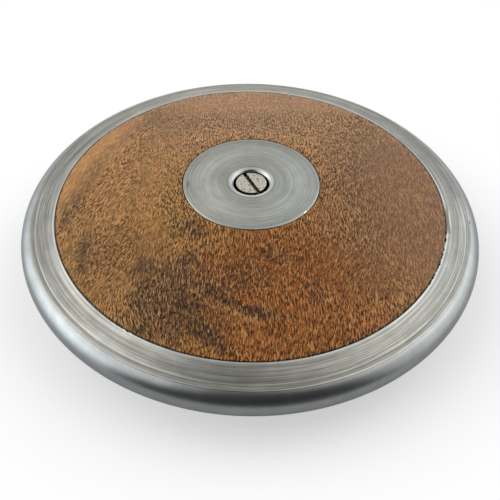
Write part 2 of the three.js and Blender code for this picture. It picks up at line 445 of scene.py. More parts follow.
        # The burr is a ragged, inward shift between the dent's end and its own end
        not_dented = add("ShaderNodeMath", 1.0, ended, operation="SUBTRACT")
        going = add("ShaderNodeMath", angle, given["Burr End"], operation="GREATER_THAN")
        worn = add("ShaderNodeMath", not_dented, going, operation="MULTIPLY")
        from_nick = add("ShaderNodeMath", angle, given["Nick Angle"], operation="SUBTRACT")
        off_nick = add("ShaderNodeMath", from_nick, operation="ABSOLUTE")
        nicked = add("ShaderNodeMath", off_nick, given["Nick Width"], operation="LESS_THAN")
        torn = add("ShaderNodeMath", worn, nicked, operation="MAXIMUM")
        seed = add("ShaderNodeMath", given["Seed"], cls.SEED_STEP, operation="MULTIPLY")
        grain = (cls.BURR_FINENESS, cls.BURR_DETAIL, cls.BURR_ROUGHNESS)
        ragged = add("ShaderNodeTexNoise", outward, seed, *grain, noise_dimensions="4D")
        burr = add("ShaderNodeMapRange", ragged, *cls.BURR_BITE)
        for share in (torn, given["Burr"], near):
            burr = add("ShaderNodeMath", burr, share, operation="MULTIPLY")
        sideways = add("ShaderNodeVectorMath", outward, burr, operation="SCALE")
        drop = add("ShaderNodeCombineXYZ", inputs={"Z": sunk})
        shift = add("ShaderNodeVectorMath", sideways, drop, operation="ADD")
        moved = add("GeometryNodeSetPosition", given["Geometry"], top, inputs={"Offset": shift})
        return shape.closed_with(moved)

    @staticmethod
    def _drilling_ring() -> ShapeTree:
        """Makes the tree that repeats a piece at even steps round a circle."""
        shape = ShapeTree.opened("ring of copies", ["Circle Radius"], ["Count"])
        add, given = shape.add, shape.given
        circle = add("GeometryNodeMeshCircle", given["Count"], given["Circle Radius"])
        copies = add("GeometryNodeInstanceOnPoints", circle, inputs={"Instance": given["Geometry"]})
        return shape.closed_with(copies)

    @classmethod
    def _washer_winder(cls) -> ShapeTree:
        """Makes the tree that bends a square wire into one turn of a split washer, with leaning ends."""
        sizes = ("Mean Radius", "Wire Width", "Wire Height", "Split", "Lean", "Middle Height", "Ease")
        shape = ShapeTree.opened("washer winder", sizes)
        add, given = shape.add, shape.given
        radius = given["Mean Radius"]
        split = add("ShaderNodeMath", given["Split"], radius, operation="DIVIDE")
        start = add("ShaderNodeMath", split, 0.5, operation="MULTIPLY")
        sweep = add("ShaderNodeMath", FULL_TURN, split, operation="SUBTRACT")
        path = add("GeometryNodeCurveArc", cls.WIRE_STEPS, radius, start, sweep, mode="RADIUS")
        upright = add("GeometryNodeSetCurveNormal", path, mode="Z_UP")
        wire = add("GeometryNodeCurvePrimitiveQuadrilateral", given["Wire Width"], given["Wire Height"])
        soft = add("GeometryNodeFilletCurve", wire, cls.WIRE_CORNER_STEPS, given["Ease"], True, mode="POLY")
        swept = add("GeometryNodeCurveToMesh", upright, soft, inputs={"Fill Caps": True})
        place = add("GeometryNodeInputPosition")
        height = add("ShaderNodeSeparateXYZ", place).outputs["Z"]
        slant = add("ShaderNodeMath", given["Lean"], operation="TANGENT")
        along = add("ShaderNodeMath", height, slant, operation="MULTIPLY")
        turn = add("ShaderNodeMath", along, radius, operation="DIVIDE")
        leaned = add("ShaderNodeVectorRotate", place, inputs={"Angle": turn}, rotation_type="Z_AXIS")
        level = add("ShaderNodeCombineXYZ", inputs={"Z": given["Middle Height"]})
        places = {"Position": leaned, "Offset": level}
        return shape.closed_with(add("GeometryNodeSetPosition", swept, inputs=places))

    @staticmethod
    def section_mesh(outline: Outline, closed: bool, side: Side) -> bpy.types.Mesh:
        """Draws a section as edges in the XZ plane.

        Args:
            outline: Radii and heights from the middle plane, in millimetres.
            closed: Whether the last point joins the first.
            side: The face of the discus that the section belongs to.

        Returns:
            A mesh of edges only, in metres.
        """
        places = [(radius * MM, 0.0, MIDDLE + side.value * height * MM) for radius, height in outline]
        count = len(places)
        edges = [(i, (i + 1) % count) for i in range(count if closed else count - 1)]
        mesh = bpy.data.meshes.new("section")
        mesh.from_pydata(places, edges, [])
        return mesh

    @staticmethod
    def shaped(
        name: str,
        start: bpy.types.Mesh,
        steps: Iterable[tuple[ShapeTree, dict[str, float | int]]],
        material: bpy.types.Material,
    ) -> bpy.types.Object:
        """Runs shaping trees over a start mesh, and gives the result as a plain mesh.

        Args:
            name: The piece's name.
            start: The mesh that the first tree takes.
            steps: The trees in order, each with the values of its named inputs.
            material: The finish of the whole piece.

        Returns:
            An object at the origin with a closed mesh, whose faces point outwards.
        """
        piece = bpy.data.objects.new(name, start)
        bpy.context.scene.collection.objects.link(piece)
        for shape, values in steps:
            modifier = piece.modifiers.new(shape.tree.name, "NODES")
            modifier.node_group = shape.tree
            for label, value in {**values, "Material": material}.items():
                modifier[shape.identifiers[label]] = value
        seen = piece.evaluated_get(bpy.context.evaluated_depsgraph_get())
        mesh = bpy.data.meshes.new_from_object(seen)
        piece.modifiers.clear()
        piece.data = mesh
        bpy.data.meshes.remove(start)
        mesh.name = name
        mesh.materials.clear()
        mesh.materials.append(material)
        Workshop.dress_mesh(mesh)
        return piece

    @staticmethod
    def dress_mesh(mesh: bpy.types.Mesh) -> None:
        """Welds a mesh, turns its faces outwards, and shades it smooth between sharp edges.

        Args:
            mesh: The mesh to change.
        """
        made = bmesh.new()
        made.from_mesh(mesh)
        bmesh.ops.remove_doubles(made, verts=made.verts, dist=WELD)
        bmesh.ops.dissolve_degenerate(made, edges=made.edges, dist=WELD / 2)
        bmesh.ops.recalc_face_normals(made, faces=made.faces)
        for face in made.faces:
            face.smooth = True
            face.material_index = 0
        for edge in made.edges:
            edge.smooth = len(edge.link_faces) == 2 and edge.calc_face_angle(0.0) < SHARP_ANGLE
        made.to_mesh(mesh)
        made.free()

    def turned(
        self,
        name: str,
        outline: Outline,
        facets: int,
        material: bpy.types.Material,
        side: Side = Side.UPPER,
        later: Iterable[tuple[ShapeTree, dict[str, float | int]]] = (),
    ) -> bpy.types.Object:
        """Turns a piece on the lathe, and sends it through further machines.

        Args:
            name: The piece's name.
            outline: Its section, which closes on itself unless it starts on the axis.
            facets: How many flats go round it.
            material: Its finish.
            side: The face of the discus that the outline is drawn for.
            later: Further trees with their values.

        Returns:
            The finished piece.
        """
        start = self.section_mesh(outline, outline[0][0] > 0, side)
        path_radius = (max(radius for radius, _ in outline) + self.PATH_PLAY) * MM
        steps = [(self.lathe, {"Facets": facets, "Path Radius": path_radius}), *later]
        return self.shaped(name, start, steps, material)


@dataclass(frozen=True)
class Cloud:
    """A soft-edged ellipse on a piece: its place and half widths in millimetres, and its lean in degrees.

    A positive lean tips its long axis, which starts along Y, to the right.
    """

    x: float
    y: float
    across: float
    along: float
    lean: float = 0.0
    strength: float = 1.0


@dataclass(frozen=True)
class Surface:
    """A material while its nodes are laid, with the place on the piece in millimetres."""

    material: bpy.types.Material
    tree: Tree
    place: Flow
    add: Callable[..., Node]

    @classmethod
    def opened(cls, name: str) -> "Surface":
        """Starts an empty material.

        Args:
            name: The material's name.

        Returns:
            The surface to lay nodes on.
        """
        material = bpy.data.materials.new(name)
        material.use_nodes = True
        tree = material.node_tree
        tree.nodes.clear()
        add = partial(add_node, tree)
        coords = add("ShaderNodeTexCoord").outputs["Object"]
        return cls(material, tree, add("ShaderNodeVectorMath", coords, 1 / MM, operation="SCALE"), add)

    def coated(self, ground: Flow | Colour, *coats: tuple[Flow, str]) -> Flow:
        """Lays coats of colour over a ground colour, one after another.

        Args:
            ground: The lowest colour.
            coats: Each coat's share and its hex code.

        Returns:
            The colour that shows.
        """
        for share, code in coats:
            ground = self.add("ShaderNodeMix", share, ground, linear(code), data_type="RGBA")
        return ground

    def clouded(self, place: Flow, clouds: Sequence[Cloud]) -> Flow:
        """Makes soft clouds, and takes the strongest where they meet.

        Args:
            place: The place in millimetres.
            clouds: The clouds.

        Returns:
            Their strength at the place.
        """
        full_until, gone_from, endless = 0.4, 1.3, 1000.0
        total = 0.0
        for cloud in clouds:
            lean, size = (0, 0, -math.radians(cloud.lean)), (cloud.across, cloud.along, endless)
            ellipse = ((cloud.x, cloud.y, 0), lean, size)
            fitted = self.add("ShaderNodeMapping", place, *ellipse, vector_type="TEXTURE")
            away = self.add("ShaderNodeVectorMath", fitted, operation="LENGTH")
            fade = (full_until, gone_from, cloud.strength, 0.0)
            here = self.add("ShaderNodeMapRange", away, *fade, interpolation_type="SMOOTHSTEP")
            total = self.add("ShaderNodeMath", total, here, operation="MAXIMUM")
        return total

    def closed_with(self, inputs: dict[str, object]) -> bpy.types.Material:
        """Ends the material in a Principled shader.

        Args:
            inputs: What the shader's inputs take, by name.

        Returns:
            The material.
        """
        self.add("ShaderNodeOutputMaterial", self.add("ShaderNodeBsdfPrincipled", inputs=inputs))
        return self.material


@dataclass(frozen=True)
class RecessShade:
    """Painted shade: near-black colour laid in the gap round the screw's heads and in their slots, where
    shade falls.

    It lies within a radius and below a height, and on a head beyond a second radius or across the slot.
    """

    radius: float
    height: float
    head_radius: float = 0.0
    slot_turn: float = 0.0
    slot_half_width: float = 0.0
    blur: float = 0.12
    cover: float = 0.96
    lit_strip_from: float = 0.2
    lit_strip_to: float = 0.5
    lit_strip_cover: float = 0.66
    colour: str = "#100d0b"

    def laid_on(self, surface: Surface, colour: Flow) -> Flow:
        """Paints shade on a finish in the gap round the heads and in the slots.

        Args:
            surface: The finish's surface.
            colour: The colour without the painted shade.

        Returns:
            The colour with the painted shade.
        """
        add, spot, blur = surface.add, Polar.of(surface.tree, surface.place), self.blur
        above = add("ShaderNodeMath", spot.z, MIDDLE / MM, operation="SUBTRACT")
        height = add("ShaderNodeMath", above, operation="ABSOLUTE")
        low = add("ShaderNodeMapRange", height, self.height + blur, self.height - blur)
        near = add("ShaderNodeMapRange", spot.radius, self.radius + blur, self.radius - blur)
        share = add("ShaderNodeMath", low, near, operation="MULTIPLY")
        if self.head_radius:
            side = add("ShaderNodeMapRange", spot.radius, self.head_radius - blur, self.head_radius + blur)
            # The lower head's slot is the mirror image of the upper one's
            facing = add("ShaderNodeMath", above, operation="SIGN")
            over = add("ShaderNodeMath", spot.y, facing, operation="MULTIPLY")
            turn = math.radians(self.slot_turn)
            square_to_slot = (-math.sin(turn), math.cos(turn), 0)
            seen = add("ShaderNodeCombineXYZ", spot.x, over)
            across = add("ShaderNodeVectorMath", seen, square_to_slot, operation="DOT_PRODUCT")
            off = add("ShaderNodeMath", across, operation="ABSOLUTE")
            # Painted shade fills the slot, and is lighter along one strip of its floor
            beside = add("ShaderNodeMath", across, self.slot_half_width / 2, operation="SUBTRACT")
            beside = add("ShaderNodeMath", beside, operation="ABSOLUTE")
            strip = (self.lit_strip_from * self.slot_half_width, self.lit_strip_to * self.slot_half_width)
            slot = add("ShaderNodeMapRange", beside, *strip, self.lit_strip_cover, 1.0)
            inside = add("ShaderNodeMath", off, self.slot_half_width + blur, operation="LESS_THAN")
            for part in (inside, low):
                slot = add("ShaderNodeMath", slot, part, operation="MULTIPLY")
            side = add("ShaderNodeMath", side, near, operation="MULTIPLY")
            share = add("ShaderNodeMath", slot, side, operation="MAXIMUM")
        share = add("ShaderNodeMath", share, self.cover, operation="MULTIPLY")
        return surface.coated(colour, (share, self.colour))


@dataclass(frozen=True)
class TurnedSteel:
    """Mild steel turned on a lathe: fine rings that the tool left, which smear highlights outwards.

    The rings run round the axis, so the shine spreads across them and the disc shows light and dark
    sectors. Between two radii the steel is polished: neutral, smoother, and with hardly any rings.
    A line is given by its radius, its width, and how bright or dark it is.
    """

    name: str
    body: str
    bright: str
    shade: str
    polished: str
    polished_from: float
    polished_to: float
    polished_roughness: float
    ring_contrast: float
    lines: tuple[tuple[float, float, float], ...]
    marks: tuple[tuple[Cloud, str], ...]
    recess_shade: RecessShade | None = None
    blur: float = 0.12
    # How far apart the coarse and the fine rings lie, and how fast each changes round the circle
    ring_kinds: tuple[Point, Point] = ((0.7, 0.014), (0.35, 0.05))
    ring_detail: float = 2.0
    ring_roughness: float = 0.6
    ring_span: Point = (0.7, 1.3)
    ring_depth: float = 0.01
    # What part of a line's width is at full strength
    line_core: float = 0.25
    cloud_size: float = 7.0
    cloud_detail: float = 5.0
    cloud_roughness: float = 0.62
    clouds: Ramp = (0.35, 0.68, 0.9, 1.08)
    roughness: Ramp = (0.3, 0.7, 0.35, 0.25)
    anisotropy: float = 0.6

    def build(self) -> bpy.types.Material:
        """Makes the material's nodes.

        Returns:
            The material.
        """
        surface = Surface.opened(self.name)
        add, spot = surface.add, Polar.of(surface.tree, surface.place)
        rings, fine = (self._rings(surface, spot, *kind) for kind in self.ring_kinds)
        both = add("ShaderNodeMath", rings, fine, operation="ADD")
        start, end = self.polished_from, self.polished_to
        begun = add("ShaderNodeMapRange", spot.radius, start - self.blur, start + self.blur)
        ended = add("ShaderNodeMapRange", spot.radius, end + self.blur, end - self.blur)
        polish = add("ShaderNodeMath", begun, ended, operation="MULTIPLY")
        plain = add("ShaderNodeMath", 1.0, polish, operation="SUBTRACT")
        tone = add("ShaderNodeMapRange", both, *self.ring_span, -self.ring_contrast, self.ring_contrast)
        # Lines: rings that the tool left brighter or darker where it stopped or started, and painted
        # highlights and painted shade along edges
        for line_radius, width, strength in self.lines:
            off = add("ShaderNodeMath", spot.radius, line_radius, operation="SUBTRACT")
            off = add("ShaderNodeMath", off, operation="ABSOLUTE")
            line = add("ShaderNodeMapRange", off, width, width * self.line_core, 0.0, strength)
            tone = add("ShaderNodeMath", tone, line, operation="ADD")
        kept = add("ShaderNodeMath", tone, plain, operation="MULTIPLY")
        down = add("ShaderNodeMath", kept, -1.0, operation="MULTIPLY")
        coats = ((polish, self.polished), (kept, self.bright), (down, self.shade))
        colour = surface.coated(linear(self.body), *coats)
        # Handling leaves faint cloudy marks, on the polished edge too
        grain = (1 / self.cloud_size, self.cloud_detail, self.cloud_roughness)
        cloud = add("ShaderNodeMapRange", add("ShaderNodeTexNoise", surface.place, *grain), *self.clouds)
        colour = add("ShaderNodeVectorMath", colour, cloud, operation="SCALE")
        marks = [(surface.clouded(surface.place, [cloud]), code) for cloud, code in self.marks]
        colour = surface.coated(colour, *marks)
        # Painted shade in the hole round the head, below a height
        if self.recess_shade:
            colour = self.recess_shade.laid_on(surface, colour)
        rubbed = add("ShaderNodeMapRange", rings, *self.roughness)
        rough = add("ShaderNodeMix", polish, rubbed, self.polished_roughness, data_type="FLOAT")
        relief = add("ShaderNodeMath", both, plain, operation="MULTIPLY")
        bump = add("ShaderNodeBump", inputs={"Height": relief, "Distance": self.ring_depth * MM})
        return surface.closed_with({
            "Base Color": colour,
            "Roughness": rough,
            "Normal": bump,
            "Tangent": add("ShaderNodeTangent", direction_type="RADIAL", axis="Z"),
            "Metallic": 1.0,
            "Anisotropic": self.anisotropy,
            # A quarter turn spreads the shine across the rings instead of along them
            "Anisotropic Rotation": 0.25,
        })

    def _rings(self, surface: Surface, spot: Polar, spacing: float, drift: float) -> Flow:
        """Makes noise that changes fast with radius and height, and slowly round the circle.

        Args:
            surface: The surface.
            spot: The place as seen from the axis.
            spacing: How far apart the rings are.
            drift: How fast the noise changes round the circle.

        Returns:
            The noise.
        """
        add = surface.add
        reach = add("ShaderNodeMath", spot.radius, spot.z, operation="ADD")
        rate = add("ShaderNodeMath", reach, 1 / spacing, operation="MULTIPLY")
        slow = add("ShaderNodeVectorMath", spot.level, drift, operation="SCALE")
        lift = add("ShaderNodeCombineXYZ", inputs={"Z": rate})
        where = add("ShaderNodeVectorMath", slow, lift, operation="ADD")
        return add("ShaderNodeTexNoise", where, 1.0, self.ring_detail, self.ring_roughness)


@dataclass(frozen=True)
class ScrewSteel:
    """Steel with a dull zinc coat that has gone warm grey: speckled, with dark pits, and scarcely shiny."""

    name: str
    body: str
    pale: str
    pit: str
    speckle: float
    roughness: float
    recess_shade: RecessShade | None = None
    speckle_detail: float = 3.0
    speckle_roughness: float = 0.7
    speckle_span: Point = (0.38, 0.62)
    pit_spread: float = 1.7
    pit_detail: float = 2.0
    pit_roughness: float = 0.5
    pits: Ramp = (0.58, 0.66, 0.0, 0.8)
    wear: Ramp = (0.3, 0.7, 0.1, -0.08)
    relief: float = 0.03
    relief_strength: float = 0.8

    def build(self) -> bpy.types.Material:
        """Makes the material's nodes.

        Returns:
            The material.
        """
        surface = Surface.opened(self.name)
        add, place, wide = surface.add, surface.place, self.speckle * self.pit_spread
        fine = (1 / self.speckle, self.speckle_detail, self.speckle_roughness)
        grains = add("ShaderNodeTexNoise", place, *fine)
        pitting = add("ShaderNodeTexNoise", place, 1 / wide, self.pit_detail, self.pit_roughness)
        pale = add("ShaderNodeMapRange", grains, *self.speckle_span)
        pit = add("ShaderNodeMapRange", pitting, *self.pits)
        colour = surface.coated(linear(self.body), (pale, self.pale), (pit, self.pit))
        # Painted shade round the head and in the slot
        if self.recess_shade:
            colour = self.recess_shade.laid_on(surface, colour)
        low, high, *changes = self.wear
        levels = (self.roughness + change for change in changes)
        bump = add("ShaderNodeBump", self.relief_strength, self.relief * MM, inputs={"Height": grains})
        return surface.closed_with({
            "Base Color": colour,
            "Roughness": add("ShaderNodeMapRange", grains, low, high, *levels),
            "Normal": bump,
            "Metallic": 1.0,
        })


@dataclass(frozen=True)
class VarnishedHardwood:
    """Open-pored tropical hardwood, turned and varnished: golden brown, and thick with dark pores.

    Pores are cut lengthways where the grain lies in the surface and show as dashes, which lean with
    the interlocked grain. Where it dives they show as dots. Pale fibres glint between them. Minerals
    stained the heart in soft dark bands, and the satin varnish lays a pale haze over it at a low angle.
    """

    name: str
    turn: float
    honey: str = "#b07a42"
    tan: str = "#9c7039"
    russet: str = "#935017"
    rose: str = "#7a5437"
    umber: str = "#37251d"
    pore: str = "#140800"
    fleck: str = "#cf9b61"
    amber: str = "#ffe6cc"
    # Sizes across and along the grain. Real pores are about 0.2 mm wide. They are drawn about twice as
    # wide, as finer ones would vanish at the picture's size.
    dash: Point = (0.82, 3.5)
    dash_over_hair: Point = (2.4, 2.2)
    dot: Point = (0.8, 0.92)
    fibre: Point = (0.42, 3.0)
    ribbon: Point = (7.0, 50.0)
    mottle: Point = (22.0, 22.0)
    # How large the bends of the grain are, and how far they reach
    sway: Point = (36.0, 9.0)
    ruffle: Point = (8.0, 2.0)
    sway_detail: float = 1.5
    sway_roughness: float = 0.5
    hair_detail: float = 1.0
    ribbon_detail: float = 2.0
    fibre_detail: float = 3.0
    streak_roughness: float = 0.6
    streak_depth: float = 4.0
    right_lean: float = 21.0
    left_lean: float = -34.0
    # How far from its cell's middle a dash ends, and how deep dashes of different chance are
    cell_span: Point = (0.31, 0.20)
    cell_depth: Ramp = (0.05, 0.6, 0.2, 1.0)
    hair_span: Point = (0.525, 0.57)
    dot_strength: float = 0.85
    light_span: Point = (0.82, 1.18)
    fibre_shade: Ramp = (0.38, 0.60, 0.76, 1.2)
    glint: Ramp = (0.51, 0.58, 0.0, 0.5)
    diving_glint: Ramp = (0.0, 1.0, 1.0, 0.7)
    pore_stain: Ramp = (0.0, 1.0, 0.9, 1.0)
    figure_cover: float = 0.86
    edge_shade_radius: float = 75.7
    edge_shade_blur: float = 0.35
    edge_shade_cover: float = 0.85
    varnish_wear: Ramp = (0.0, 1.0, 0.36, 0.56)
    varnish_ior: float = 1.45
    varnish_shine: float = 0.36
    pore_depth: float = -0.8
    relief: float = 0.05
    relief_strength: float = 0.5
    right_leaning: tuple[Cloud, ...] = (
        Cloud(-66.0, 16.0, 34.0, 62.0, 16.0),
        Cloud(-52.0, -30.0, 20.0, 22.0),
        Cloud(36.0, -40.0, 14.0, 10.0, 0.0, 0.8),
    )
    left_leaning: tuple[Cloud, ...] = (
        Cloud(-46.0, -31.0, 17.0, 13.0, 0.0, 0.7),
        Cloud(-16.0, -62.0, 12.0, 10.0, 0.0, 0.6),
    )
    diving: tuple[Cloud, ...] = (
        Cloud(74.0, 4.0, 32.0, 60.0, 0.0, 0.9),
        Cloud(0.0, 62.0, 40.0, 14.0, 0.0, 0.5),
    )
    quiet: tuple[Cloud, ...] = (
        Cloud(-66.0, 22.0, 9.0, 40.0, 22.0, 0.75),
        Cloud(0.0, 70.0, 60.0, 16.0, 0.0, 0.4),
    )
    warm: tuple[Cloud, ...] = (Cloud(14.0, -54.0, 44.0, 40.0, 0.0, 0.95),)
    rosy: tuple[Cloud, ...] = (
        Cloud(66.0, 4.0, 42.0, 60.0, 0.0, 0.95),
        Cloud(-10.0, 62.0, 70.0, 30.0, 0.0, 0.55),
    )
    pale: tuple[Cloud, ...] = (
        Cloud(-17.0, -53.0, 1.8, 8.0, -58.0, 0.5),
        Cloud(-3.0, -59.5, 1.6, 9.0, -68.0, 0.5),
    )
    figures: tuple[Cloud, ...] = (
        Cloud(-57.0, 34.0, 3.6, 16.0, 34.0, 0.45),
        Cloud(-64.5, 14.0, 4.2, 15.0, 18.0, 0.5),
        Cloud(-69.5, -6.0, 4.2, 13.0, 8.0, 0.6),
        Cloud(-60.5, -33.0, 3.0, 12.0, -6.0, 0.55),
        Cloud(-36.5, -41.0, 5.5, 4.5, 0.0, 0.85),
        Cloud(-22.5, -39.0, 6.5, 4.5, -20.0, 0.80),
        Cloud(-26.0, -45.0, 4.0, 11.0, -68.0, 0.80),
        Cloud(-11.0, -52.0, 2.6, 11.0, -60.0, 0.90),
        Cloud(2.5, -58.8, 2.4, 11.0, -77.0, 0.92),
        Cloud(-37.0, -52.0, 4.5, 9.0, 4.0, 0.80),
        Cloud(-28.0, -58.0, 9.0, 4.5, 20.0, 0.62),
        Cloud(-14.0, -66.5, 4.6, 12.0, -52.0, 0.85),
        Cloud(-26.0, -54.0, 20.0, 14.0, -56.0, 0.78),
        Cloud(-21.5, -24.5, 4.0, 7.0, -58.0, 0.70),
        Cloud(-4.0, -45.0, 12.0, 8.0, 0.0, 0.45),
        Cloud(9.5, -37.0, 6.0, 5.0, 0.0, 0.45),
        Cloud(23.0, -49.5, 5.0, 5.0, 30.0, 0.38),
    )

    def build(self) -> bpy.types.Material:
        """Makes the material's nodes.

        Returns:
            The material.
        """
        surface = Surface.opened(self.name)
        add = surface.add
        place = add("ShaderNodeMapping", surface.place, inputs={"Rotation": (0, 0, self.turn)})
        swayed, ruffled = (self._swayed(surface, place, *bend) for bend in (self.sway, self.ruffle))
        dark = surface.clouded(ruffled, self.figures)
        zones = (self.diving, self.right_leaning, self.left_leaning, self.quiet)
        dives, leaning, crossing, quiet = (surface.clouded(place, clouds) for clouds in zones)
        straight, right, left = (
            self._grained(surface, swayed, lean) for lean in (0.0, self.right_lean, self.left_lean)
        )
        dashes, fibres = (
            add("ShaderNodeMix", leaning, *pair, data_type="FLOAT") for pair in zip(straight, right)
        )
        # Where the two leans cross, both sets of pores show
        crossed = add("ShaderNodeMath", left[0], crossing, operation="MULTIPLY")
        dashes = add("ShaderNodeMath", dashes, crossed, operation="MAXIMUM")
        dots = self._cells(surface, swayed, *self.dot)
        dots = add("ShaderNodeMath", dots, self.dot_strength, operation="MULTIPLY")
        pores = add("ShaderNodeMix", dives, dashes, dots, data_type="FLOAT")
        kept = add("ShaderNodeMath", 1.0, quiet, operation="SUBTRACT")
        pores = add("ShaderNodeMath", pores, kept, operation="MULTIPLY")
        shade = add("ShaderNodeMapRange", fibres, *self.fibre_shade)
        ground = self._ground(surface, place, swayed, dark)
        colour = add("ShaderNodeVectorMath", ground, shade, operation="SCALE")
        glint = add("ShaderNodeMapRange", fibres, *self.glint)
        calm = add("ShaderNodeMapRange", dives, *self.diving_glint)
        glint = add("ShaderNodeMath", glint, calm, operation="MULTIPLY")
        filled = add("ShaderNodeMapRange", dark, *self.pore_stain)
        stain = add("ShaderNodeMath", pores, filled, operation="MULTIPLY")
        sunk = add("ShaderNodeMath", pores, self.pore_depth, operation="MULTIPLY")
        raised = add("ShaderNodeMath", sunk, fibres, operation="ADD")
        bump = add("ShaderNodeBump", self.relief_strength, self.relief * MM, inputs={"Height": raised})
        return surface.closed_with({
            "Base Color": surface.coated(colour, (glint, self.fleck), (stain, self.pore)),
            "Roughness": add("ShaderNodeMapRange", pores, *self.varnish_wear),
            "Normal": bump,
            "IOR": self.varnish_ior,
            "Specular IOR Level": self.varnish_shine,
            # The varnish is amber, which warms what it mirrors
            "Specular Tint": linear(self.amber),
        })

    def _ground(self, surface: Surface, place: Flow, swayed: Flow, dark: Flow) -> Flow:
        """Lays the wood's slow changes of colour: ribbons, warmer and rosier zones, and dark figure.

        Args:
            surface: The surface.
            place: The place in millimetres.
            swayed: The place, bent a little.
            dark: How strongly minerals stained it.

        Returns:
            The colour.
        """
        add = surface.add
        ribbons = self._streaks(surface, swayed, *self.ribbon, self.ribbon_detail)
        mottle = self._streaks(surface, swayed, *self.mottle, self.fibre_detail)
        both = add("ShaderNodeMath", ribbons, mottle, operation="ADD")
        light = add("ShaderNodeMapRange", both, *self.light_span)
        warm, rosy, pale = (surface.clouded(place, clouds) for clouds in (self.warm, self.rosy, self.pale))
        stained = add("ShaderNodeMath", dark, self.figure_cover, operation="MULTIPLY")
        # Painted shade, in the pores' colour, in the gap where the wood meets the rim
        span = (self.edge_shade_radius, self.edge_shade_radius + self.edge_shade_blur)
        edge_shade = add("ShaderNodeMapRange", Polar.of(surface.tree, place).radius, *span, 0.0, self.edge_shade_cover)
        zones = ((light, self.honey), (warm, self.russet), (rosy, self.rose), (pale, self.fleck))
        return surface.coated(linear(self.tan), *zones, (stained, self.umber), (edge_shade, self.pore))

    def _swayed(self, surface: Surface, place: Flow, size: float, amount: float) -> Flow:
        """Bends the pattern sideways by soft noise.

        Args:
            surface: The surface.
            place: The place in millimetres.
            size: How large the bends are.
            amount: How far they reach.

        Returns:
            The bent place.
        """
        add = surface.add
        noise = add("ShaderNodeTexNoise", place, 1 / size, self.sway_detail, self.sway_roughness)
        centred = add("ShaderNodeVectorMath", noise.outputs["Color"], (0.5, 0.5, 0.5), operation="SUBTRACT")
        scaled = add("ShaderNodeVectorMath", centred, (amount, amount, 0), operation="MULTIPLY")
        return add("ShaderNodeVectorMath", place, scaled, operation="ADD")

    def _streaks(self, surface: Surface, grain: Flow, width: float, length: float, detail: float) -> Flow:
        """Makes noise drawn out along the fibres.

        Args:
            surface: The surface.
            grain: The place, turned so that the fibres run along Y.
            width: The pattern's size across the fibres, in millimetres.
            length: Its size along them.
            detail: How many finer layers it has.

        Returns:
            The noise.
        """
        share = (1 / width, 1 / length, 1 / (self.streak_depth * width))
        scaled = surface.add("ShaderNodeVectorMath", grain, share, operation="MULTIPLY")
        return surface.add("ShaderNodeTexNoise", scaled, 1.0, detail, self.streak_roughness)

    def _cells(self, surface: Surface, grain: Flow, width: float, length: float) -> Flow:
        """Makes one dash in each cell of a loose net, and leaves some cells nearly empty.

        Args:
            surface: The surface.
            grain: The place, turned so that the dashes run along Y.
            width: The cells' width, in millimetres.
            length: Their length.

        Returns:
            One in a dash and zero between them.
        """
        add = surface.add
        scaled = add("ShaderNodeVectorMath", grain, (1 / width, 1 / length, 0), operation="MULTIPLY")
        net = add("ShaderNodeTexVoronoi", scaled, 1.0, voronoi_dimensions="2D")
        inside = add("ShaderNodeMapRange", net, *self.cell_span)
        chance = add("ShaderNodeSeparateXYZ", net.outputs["Color"])
        depth = add("ShaderNodeMapRange", chance, *self.cell_depth)
        return add("ShaderNodeMath", inside, depth, operation="MULTIPLY")

    def _grained(self, surface: Surface, place: Flow, lean: float) -> tuple[Flow, Flow]:
        """Makes the dashes and the fibres of grain that leans one way.

        Args:
            surface: The surface.
            place: The bent place in millimetres.
            lean: How far the grain leans to the right, in degrees.

        Returns:
            The dashes and the fibres.
        """
        add = surface.add
        grain = add("ShaderNodeMapping", place, inputs={"Rotation": (0, 0, math.radians(lean))})
        cells = self._cells(surface, grain, *self.dash)
        hair = (whole / parts for whole, parts in zip(self.dash, self.dash_over_hair))
        drawn = self._streaks(surface, grain, *hair, self.hair_detail)
        drawn = add("ShaderNodeMapRange", drawn, *self.hair_span)
        dashes = add("ShaderNodeMath", cells, drawn, operation="MAXIMUM")
        return dashes, self._streaks(surface, grain, *self.fibre, self.fibre_detail)


